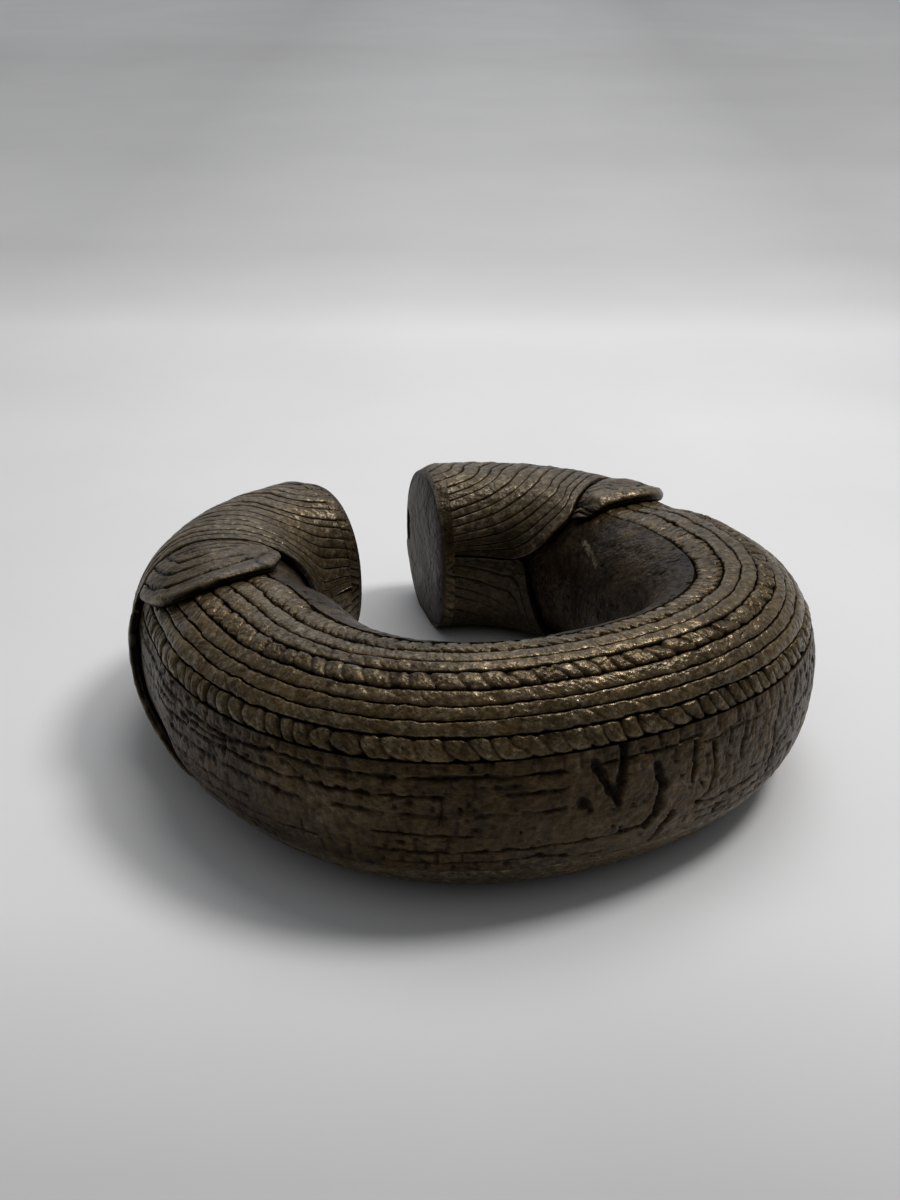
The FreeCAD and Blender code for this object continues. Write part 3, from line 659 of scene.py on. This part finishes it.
# The tongues: a thread laid in flat loops inside one another in front of each half of a wrap,
# with their bends at the outer end. The left upper one is crisp, the right one worn plain.
tongue_lines = {
    "left_upper_tongue": (
        [(62.0, 120.0), (60.5, 111.0), (59.8, 97.0), (59.3, 78.0), (60.2, 61.0), (61.8, 48.0), (64.6, 36.0)],
        [(68.5, 120.0), (75.5, 112.0), (81.5, 96.0), (83.3, 78.0), (81.0, 60.0), (75.0, 43.0), (67.4, 33.0)],
    ),
    "right_upper_tongue": (
        [(67.4, 126.0), (65.0, 117.0), (62.5, 106.0), (60.6, 95.0), (59.1, 79.0), (59.8, 60.0), (62.6, 41.0)],
        [(70.4, 123.0), (72.6, 114.0), (72.9, 103.0), (73.4, 91.0), (73.8, 77.0), (71.8, 61.0), (66.8, 43.0)],
    ),
    "lower_tongue": (
        [
            (63.0, 120.0), (62.6, 105.0), (62.8, 85.0), (63.1, 65.0), (63.7, 45.0),
            (64.3, 28.0), (64.6, 14.0), (64.8, -3.0), (64.8, -22.0),
        ],
        [
            (68.5, 120.0), (78.0, 112.0), (88.0, 94.0), (94.0, 68.0), (94.0, 43.0),
            (87.0, 25.0), (76.5, 14.0), (69.0, -3.0), (66.2, -22.0),
        ],
    ),
}
# The lines between the loops, each with its half width and depth in mm.
loop_lines = {
    "left_upper_tongue": [
        (0.42, 0.50, [
            (60.9, 46.0), (61.2, 41.0), (63.4, 39.0), (67.1, 42.0), (70.4, 47.0), (73.0, 53.0),
            (75.6, 62.0), (76.7, 74.0), (76.4, 84.0), (74.5, 93.0), (72.5, 100.0),
        ]),
        (0.38, 0.44, [
            (60.6, 56.0), (61.2, 51.0), (62.3, 49.0), (64.5, 51.0), (68.2, 56.0),
            (70.8, 62.0), (71.5, 68.0), (71.5, 77.0), (71.2, 89.0), (70.2, 96.0),
        ]),
        (0.34, 0.38, [
            (60.2, 66.0), (60.2, 61.0), (61.4, 58.5), (63.7, 60.0), (67.3, 66.0), (67.5, 78.0), (66.2, 92.0),
        ]),
        (0.30, 0.30, [(61.2, 60.0), (60.6, 70.0), (60.4, 84.0), (61.0, 98.0), (62.2, 110.0)]),
        (0.26, 0.24, [(63.0, 64.0), (62.6, 76.0), (62.4, 90.0), (63.2, 102.0)]),
        (0.26, 0.20, [(64.2, 70.0), (64.6, 82.0), (64.4, 94.0)]),
        (0.30, 0.26, [(78.6, 106.0), (76.4, 101.0), (72.6, 103.0), (68.5, 110.0)]),
    ],
    "right_upper_tongue": [
        (0.26, 0.22, [(58.8, 93.0), (60.9, 88.5), (63.4, 86.2), (66.0, 82.0)]),
        (0.26, 0.22, [(61.9, 96.8), (63.2, 90.8), (66.4, 87.8), (68.5, 84.0)]),
        (0.24, 0.18, [(64.2, 100.5), (66.2, 93.0), (69.2, 90.0)]),
        (0.28, 0.22, [
            (62.7, 112.5), (60.8, 105.0), (61.4, 101.4), (63.0, 101.2), (64.8, 104.2), (66.0, 109.5), (64.6, 112.5),
        ]),
        (0.40, 0.45, [(63.9, 120.5), (66.4, 114.5), (70.0, 115.5), (73.0, 113.6)]),
        (0.30, 0.35, [(66.0, 124.0), (68.4, 118.0), (70.8, 119.5)]),
        (0.26, 0.20, [(62.0, 60.0), (64.5, 64.0), (67.5, 70.0), (69.3, 78.0)]),
    ],
    "lower_tongue": [
        (0.40, 0.45, [
            (66.0, 22.0), (70.0, 21.0), (76.0, 26.0), (83.0, 37.0),
            (88.0, 50.0), (89.0, 70.0), (84.0, 90.0), (76.0, 105.0),
        ]),
        (0.38, 0.42, [
            (66.0, 33.0), (70.0, 31.0), (76.0, 38.0), (82.0, 52.0), (82.5, 70.0), (78.5, 86.0), (72.0, 99.0),
        ]),
        (0.34, 0.38, [(66.0, 46.0), (69.5, 44.0), (74.5, 52.0), (76.5, 68.0), (73.5, 82.0), (69.0, 93.0)]),
        (0.32, 0.34, [(66.5, 60.0), (69.5, 59.0), (71.0, 70.0), (68.5, 82.0)]),
    ],
}
upper_tongue_lift = {"left_upper_tongue": 0.10, "right_upper_tongue": 0.65}


def make_tongue(name, lines_name, half, at_right, seed):
    back_keys, front_keys = tongue_lines[lines_name]
    backs, fronts = smooth_path(back_keys, 16), smooth_path(front_keys, 16)
    across = np.linspace(0.0, 1.0, 91)
    turn = backs[:, None, 0] + (fronts - backs)[:, None, 0] * across
    around = backs[:, None, 1] + (fronts - backs)[:, None, 1] * across
    depth, dark = sunk_along(turn, around, loop_lines[lines_name])
    turn, around = at_end(turn, at_right), half * around
    spot = place(turn, around, wrap_rise)
    width = np.linalg.norm(spot[:, -1] - spot[:, 0], axis=-1)[:, None]
    to_front, to_back = (1.0 - across) * width, across * width
    middle = (spot[:, 0] + spot[:, -1]) / 2.0
    run = np.concatenate([[0.0], np.cumsum(np.linalg.norm(np.diff(middle, axis=0), axis=-1))])
    to_ends = np.minimum(run, run[-1] - run)[:, None]
    swollen = unit(to_front / 2.0) * unit(to_back / 3.0) * unit(to_ends / 3.0)
    lift = upper_tongue_lift.get(lines_name, 0.0) * swollen
    lip = 0.16 * np.exp(-((to_front - 1.5) / 1.2) ** 2)
    edge_drop = 0.55 * np.exp(-to_front / 0.28) + 0.35 * np.exp(-to_back / 0.3)
    rough = layered(spot, (0.10, 4.0, seed), (0.08, 1.4, seed + 1), (0.05, 0.7, seed + 2))
    crumbled = unit((np.abs(around) - 104.0) / 8.0) * (lines_name == "right_upper_tongue")
    lift = lift * (1.0 - crumbled)
    rough = rough + crumbled * (layered(spot, (0.35, 1.5, seed + 4), (0.2, 0.8, seed + 5)) - 0.2)
    if half < 0.0:
        depth, dark = 0.5 * depth, 0.45 * dark
    rise = wrap_rise - 0.06 - depth + lip * (1.0 - crumbled) + lift - edge_drop + np.minimum(rough, 0.05)
    relief = unit(1.0 + (rise - lift - wrap_rise - 0.02) / 0.6) * (1.0 - 0.9 * dark) * (1.0 - 0.5 * crumbled)
    # Bright rubbed metal in patches along the front edge, put in as colour; it is also a painted glint.
    front_rub_and_glint = np.exp(-((to_front - 0.8) / 0.7) ** 2) * unit(1.6 * lumps(spot, 2.2, seed + 3) - 0.1)
    top = place(turn, around, rise, 0.0)
    under = place(turn[:, ::10], around[:, ::10], wrap_clearance, wrap_rise - wrap_clearance)[:, ::-1]
    loops = np.concatenate([top, under], axis=1)
    blank = np.zeros(under.shape[:2])
    marks = np.concatenate([relief, blank + 0.25], axis=1)
    mesh = swept_mesh(name, loops, marks, np.concatenate([0.7 * front_rub_and_glint, blank], axis=1))
    put(name + "_bronze", mesh, threaded_bronze, "threaded_bronze", name)


for at_right, end_name in ((False, "left"), (True, "right")):
    upper_name = end_name + "_upper_tongue"
    make_tongue(upper_name, upper_name, 1.0, at_right, 140 + 10 * at_right)
    make_tongue(end_name + "_lower_tongue", "lower_tongue", -1.0, at_right, 160 + 10 * at_right)

# The collars, a ring round each end between the threads and the end plate. On the left the
# threads' lines run on over it; on the right it is plain along the inner side.
end_bronze = patinated_bronze("end_bronze", (0.035, 0.0265, 0.0175), 0.25, 0.9, 0.52)
collar_around = np.linspace(0.0, 360.0, 481)[:-1]
corner_inset, corner_middle_angle, corner_reach_angle = 1.9, 52.0, 42.0
collar_top, collar_underside = 1.47, 0.42


def corner_drop(around):
    """How far the outer upper corner of an end is worn down, in mm."""
    off = (around - corner_middle_angle + 180.0) % 360.0 - 180.0
    return corner_inset * np.exp(-(off / corner_reach_angle) ** 2)


def make_collar(name, at_right, seed):
    share = np.array([0.0, 0.0, 0.2, 0.4, 0.6, 0.8, 1.0, 1.0])
    body = np.array([0.0, 1.0, 1.0, 1.0, 1.0, 1.0, 1.0, 0.0])
    turn = plate_back_angle + (collar_back_angle - plate_back_angle) * share
    around, turn = np.meshgrid(collar_around, turn, indexing="ij")
    spot = place(at_end(turn, at_right), around, 1.6)
    signed = (around + 180.0) % 360.0 - 180.0
    starts = []
    for half, wrap_name in ((1.0, "_upper_wrap"), (-1.0, "_lower_wrap")):
        edge = wrap_edge(name.split("_")[0] + wrap_name)
        lines = [thread_path(k / threads_in_wrap, edge)[0] for k in range(threads_in_wrap + 1)]
        starts += [half * line[1] for line in lines]
    starts = np.sort(np.array(starts))
    lean_at = np.interp(np.abs(signed), [0.0, 78.0, 96.0, 180.0], [11.0, 11.0, 3.0, 2.6])
    lean = (1.0 - share) * lean_at * np.sign(signed)
    near = np.abs((signed - lean)[..., None] - starts).min(axis=-1) * 0.27
    grooved = unit(1.0 - near / 0.32)
    plain = unit((signed - 112.0) / 10.0) * unit((172.0 - signed) / 10.0) if at_right else 0.0
    grooved = grooved * (1.0 - plain) * np.clip(0.75 + 0.6 * lumps(spot, 5.0, seed + 3), 0.2, 1.0)
    rough = layered(spot, (0.08, 3.0, seed), (0.06, 1.2, seed + 1))
    top = collar_top - 0.45 * grooved + np.minimum(rough, 0.06) - 0.10 * plain
    top = top - corner_drop(around) * 0.55 * (1.0 - share) ** 1.5
    rise = np.where(body > 0.5, top, collar_underside)
    relief = unit(0.82 - 0.8 * grooved - 0.35 * plain + 1.5 * rough)
    mesh = swept_mesh(name, place(at_end(turn, at_right), around, rise, 0.0), relief, ring=True)
    put(name + "_bronze", mesh, threaded_bronze, "threaded_bronze", name)


for at_right, end_name in ((False, "left"), (True, "right")):
    make_collar(end_name + "_collar", at_right, 180 + at_right)

# The end plates: the faces at the opening, a little domed, blotchy and rough from the mould.
# The right one has a hole left by the casting close to its outer edge.
opening_half_angle = 13.3
face_cracks = [
    (0.30, 0.30, [(-0.15, 0.62), (0.05, 0.40), (0.30, 0.28), (0.55, 0.10)]),
    (0.26, 0.25, [(-0.50, 0.10), (-0.35, -0.25), (-0.42, -0.60)]),
    (0.24, 0.22, [(0.10, -0.20), (0.35, -0.45), (0.40, -0.70)]),
    (0.24, 0.20, [(-0.30, 0.80), (-0.25, 0.55), (-0.42, 0.35)]),
]


def make_end_plate(name, at_right, seed):
    face_turn = at_end(opening_half_angle, at_right)
    rings = np.concatenate([np.linspace(0.02, 0.86, 56), np.linspace(0.88, 1.0, 13)])
    edge = place(face_turn, collar_around, 1.2 - corner_drop(collar_around), 0.12)
    centre = edge.mean(axis=0)
    loops = centre + (edge - centre) * rings[:, None, None]
    inward = middle_line(np.array(face_turn + 0.5)) - middle_line(np.array(face_turn - 0.5))
    inward = np.append(inward / np.linalg.norm(inward), 0.0) * (-1.0 if at_right else 1.0)
    outer = place(face_turn, 0.0, 0.0) - place(face_turn, 180.0, 0.0)
    outer = outer / np.linalg.norm(outer)
    side, up = (loops - centre) @ outer, (loops - centre)[..., 2]
    rough = layered(loops, (0.16, 4.5, seed), (0.10, 1.8, seed + 1), (0.05, 0.8, seed + 2))
    depth = 1.0 * rings[:, None] ** 7 + 0.16 + rough * 0.8
    marks = 0.72 + rough * 1.3
    reach = np.linalg.norm(edge - centre, axis=-1).max()
    for half_width, cut_depth, run in face_cracks:
        run = np.array(run) * reach
        far = np.full(side.shape, 99.0)
        for a, b in zip(run[:-1], run[1:]):
            way = b - a
            along = unit(((side - a[0]) * way[0] + (up - a[1]) * way[1]) / np.dot(way, way))
            far = np.minimum(far, np.hypot(side - a[0] - along * way[0], up - a[1] - along * way[1]))
        crack = unit(1.0 - (far + 0.15 * lumps(loops, 1.2, seed + 5)) / half_width)
        depth = depth + 0.4 * cut_depth * crack
        marks = marks * (1.0 - 0.25 * crack)
    if at_right:
        hole_side = (place(face_turn, 0.0, 1.65) - centre) @ outer - 3.6
        tall = np.clip(np.abs(up - 0.5) - 1.5, 0.0, None)
        from_middle = np.hypot(side - hole_side, tall) + 0.25 * lumps(loops, 1.5, seed + 6)
        inside_hole = unit((1.9 - from_middle) / 0.45)
        sunk_rim = np.exp(-((from_middle - 2.3) / 0.8) ** 2)
        depth = depth + 1.25 * inside_hole + 0.18 * sunk_rim
        marks = marks * (1.0 - 0.95 * inside_hole) * (1.0 - 0.25 * sunk_rim)
    loops = loops + depth[..., None] * inward
    ends = [(opening_half_angle + 1.2, collar_top), (plate_back_angle, collar_top), (plate_back_angle, 0.6)]
    for turn, rise in ends:
        drop = corner_drop(collar_around) * (0.55 if turn == plate_back_angle else 0.8)
        loops = np.concatenate([loops, place(at_end(turn, at_right), collar_around, rise - drop, 0.0)[None]])
    back = loops[-1]
    loops = np.concatenate([loops, (back.mean(axis=0) + (back - back.mean(axis=0)) * 0.02)[None]])
    marks = np.concatenate([marks, np.full((4, len(edge)), 0.7)])
    put(name + "_bronze", swept_mesh(name, loops, marks, sharp_angle=75.0), end_bronze, "end_bronze", name)


make_end_plate("left_end_plate", False, 200)
make_end_plate("right_end_plate", True, 210)

# The floor it lies on, a pale sheet with painted light and shade in its colour: darker away from the bracelet
# and to left and right, under a soft sky that is brightest at the back on the right.
def shaded_along(nodes, links, where, direction, low, high, stops, tint):
    """A colour that changes along one direction, with its level given at some distances."""
    way, span = nodes.new("ShaderNodeVectorMath"), nodes.new("ShaderNodeMapRange")
    way.operation = "DOT_PRODUCT"
    way.inputs[1].default_value = direction
    links.new(where, way.inputs[0])
    span.inputs["From Min"].default_value, span.inputs["From Max"].default_value = low, high
    links.new(way.outputs["Value"], span.inputs["Value"])
    shades = nodes.new("ShaderNodeValToRGB")
    links.new(span.outputs["Result"], shades.inputs["Fac"])
    while len(shades.color_ramp.elements) < len(stops):
        shades.color_ramp.elements.new(1.0)
    for element, (distance, level) in zip(shades.color_ramp.elements, stops):
        element.position = (distance - low) / (high - low)
        element.color = (*(level * c for c in tint), 1.0)
    return shades.outputs["Color"]


floor_mesh = bpy.data.meshes.new("floor")
floor_mesh.from_pydata([(-3.0, -3.0, 0.0), (3.0, -3.0, 0.0), (3.0, 3.0, 0.0), (-3.0, 3.0, 0.0)], [], [(0, 1, 2, 3)])
floor = bpy.data.objects.new("floor", floor_mesh)
bpy.context.scene.collection.objects.link(floor)
pale_sheet = bpy.data.materials.new("pale_sheet")
pale_sheet.use_nodes = True
sheet_nodes, sheet_links = pale_sheet.node_tree.nodes, pale_sheet.node_tree.links
sheet_place = sheet_nodes.new("ShaderNodeTexCoord").outputs["Object"]
# Painted light and shade along the floor, away from the camera: its level at some distances.
painted_falloff_away_stops = [
    (-0.108, 0.51), (-0.08, 0.63), (-0.055, 0.72), (0.0, 0.73), (0.15, 0.72),
    (0.2, 0.69), (0.25, 0.70), (0.29, 0.595), (0.36, 0.505), (0.46, 0.49),
    (0.58, 0.455), (0.77, 0.48), (0.95, 0.57), (1.12, 0.73), (1.4, 0.88),
]
# Painted shade to left and right across the floor, darkest a little way out from the middle.
painted_shade_side_stops = [
    (-0.3, 0.94), (-0.16, 0.84), (-0.08, 0.95), (-0.02, 1.0),
    (0.06, 1.0), (0.11, 0.95), (0.16, 0.86), (0.3, 0.94),
]
sheet_clouds, sheet_marks = sheet_nodes.new("ShaderNodeTexNoise"), sheet_nodes.new("ShaderNodeValToRGB")
sheet_clouds.inputs["Scale"].default_value = 14.0
sheet_clouds.inputs["Detail"].default_value = 6.0
for element, position, level in zip(sheet_marks.color_ramp.elements, (0.35, 0.65), (0.96, 1.0)):
    element.position, element.color = position, (level, level, level, 1.0)
sheet_links.new(sheet_place, sheet_clouds.inputs["Vector"])
sheet_links.new(sheet_clouds.outputs["Fac"], sheet_marks.inputs["Fac"])
sheet_colour = shaded_along(
    sheet_nodes, sheet_links, sheet_place, (0.456, 0.890, 0.0), -0.12, 1.5, painted_falloff_away_stops, (0.985, 0.99, 1.01)
)
painted_side_shade = shaded_along(
    sheet_nodes, sheet_links, sheet_place, (0.890, -0.456, 0.0), -0.3, 0.3, painted_shade_side_stops, (1.0, 1.0, 1.0)
)
for shade in (sheet_marks.outputs["Color"], painted_side_shade):
    sheet_mix = sheet_nodes.new("ShaderNodeMix")
    sheet_mix.data_type, sheet_mix.blend_type = "RGBA", "MULTIPLY"
    sheet_mix.inputs[0].default_value = 1.0
    sheet_links.new(sheet_colour, sheet_mix.inputs[6])
    sheet_links.new(shade, sheet_mix.inputs[7])
    sheet_colour = sheet_mix.outputs[2]
sheet_links.new(sheet_colour, sheet_nodes["Principled BSDF"].inputs["Base Color"])
sheet_nodes["Principled BSDF"].inputs["Roughness"].default_value = 0.9
floor_mesh.materials.append(pale_sheet)

world = bpy.data.worlds.new("soft_room")
bpy.context.scene.world = world
world.use_nodes = True
sky_nodes, sky_links = world.node_tree.nodes, world.node_tree.links
sky_stops = [(-1.0, 0.06), (-0.2, 0.13), (0.2, 0.23), (0.6, 0.33), (1.0, 0.42)]
sky_place = sky_nodes.new("ShaderNodeTexCoord").outputs["Generated"]
sky_colour = shaded_along(
    sky_nodes, sky_links, sky_place, (0.33, 0.66, 0.675), -1.0, 1.0, sky_stops, (0.97, 0.985, 1.0)
)
sky_links.new(sky_colour, sky_nodes["Background"].inputs["Color"])
sky_nodes["Background"].inputs["Strength"].default_value = 1.0


def facing(side, up, back, spot):
    """Where a lamp or a camera stands, from its three directions and its place."""
    return Matrix((*zip(side, up, back, spot), (0.0, 0.0, 0.0, 1.0)))


def add_lamp(name, spot, size, power, colour):
    lamp = bpy.data.lights.new(name, "AREA")
    lamp.shape = "DISK"
    lamp.size = size
    lamp.energy = power
    lamp.color = colour
    lamp_object = bpy.data.objects.new(name, lamp)
    bpy.context.scene.collection.objects.link(lamp_object)
    away = np.array(spot) - np.array(lamp_aim)
    away = away / np.linalg.norm(away)
    side = np.cross((0.0, 0.0, 1.0), away)
    side = side / np.linalg.norm(side)
    lamp_object.matrix_world = facing(side, np.cross(away, side), away, spot)


lamp_aim = (0.0, 0.0, 0.02)
add_lamp("ceiling_lamp", (0.58, -0.06, 1.03), 0.32, 7.0, (1.0, 0.98, 0.95))
add_lamp("wide_lamp", (0.30, 0.32, 1.10), 0.70, 4.4, (1.0, 0.985, 0.965))
add_lamp("window", (0.30, 0.75, 0.45), 0.5, 0.5, (0.97, 0.985, 1.0))

# The camera, placed where the photograph was taken from, as a fit of the hoop's outline and
# cords gave it. Its focal length is that fit's, in pixels of the photograph.
camera_azimuth, camera_elevation, camera_distance = math.radians(-27.1367), math.radians(30.5541), 0.27898
pan, tilt, roll = math.radians(-0.77703), math.radians(4.40445), math.radians(-0.76431)
away = np.array([
    math.sin(camera_azimuth) * math.cos(camera_elevation),
    -math.cos(camera_azimuth) * math.cos(camera_elevation), math.sin(camera_elevation),
])
forward = -away
right = np.cross(forward, (0.0, 0.0, 1.0))
right = right / np.linalg.norm(right)
rows = np.array([right, np.cross(right, forward), forward])
panned = np.array([[math.cos(pan), 0.0, -math.sin(pan)], [0.0, 1.0, 0.0], [math.sin(pan), 0.0, math.cos(pan)]])
tilted = np.array([[1.0, 0.0, 0.0], [0.0, math.cos(tilt), -math.sin(tilt)], [0.0, math.sin(tilt), math.cos(tilt)]])
rolled = np.array([[math.cos(roll), -math.sin(roll), 0.0], [math.sin(roll), math.cos(roll), 0.0], [0.0, 0.0, 1.0]])
rows = rolled @ tilted @ panned @ rows
camera_spot = away * camera_distance + np.array([0.0, y_shift * millimetre, 0.0])
camera = bpy.data.cameras.new("camera")
camera.sensor_fit = "AUTO"
focal_pixels, picture_height = 1535.88164, 1200.0
camera.sensor_width = 36.0
camera.lens = focal_pixels * camera.sensor_width / picture_height
camera.clip_start = 0.01
camera_object = bpy.data.objects.new("camera", camera)
bpy.context.scene.collection.objects.link(camera_object)
camera_object.matrix_world = facing(rows[0], rows[1], -rows[2], camera_spot)
bpy.context.scene.camera = camera_object
bpy.context.scene.view_settings.view_transform = "Standard"
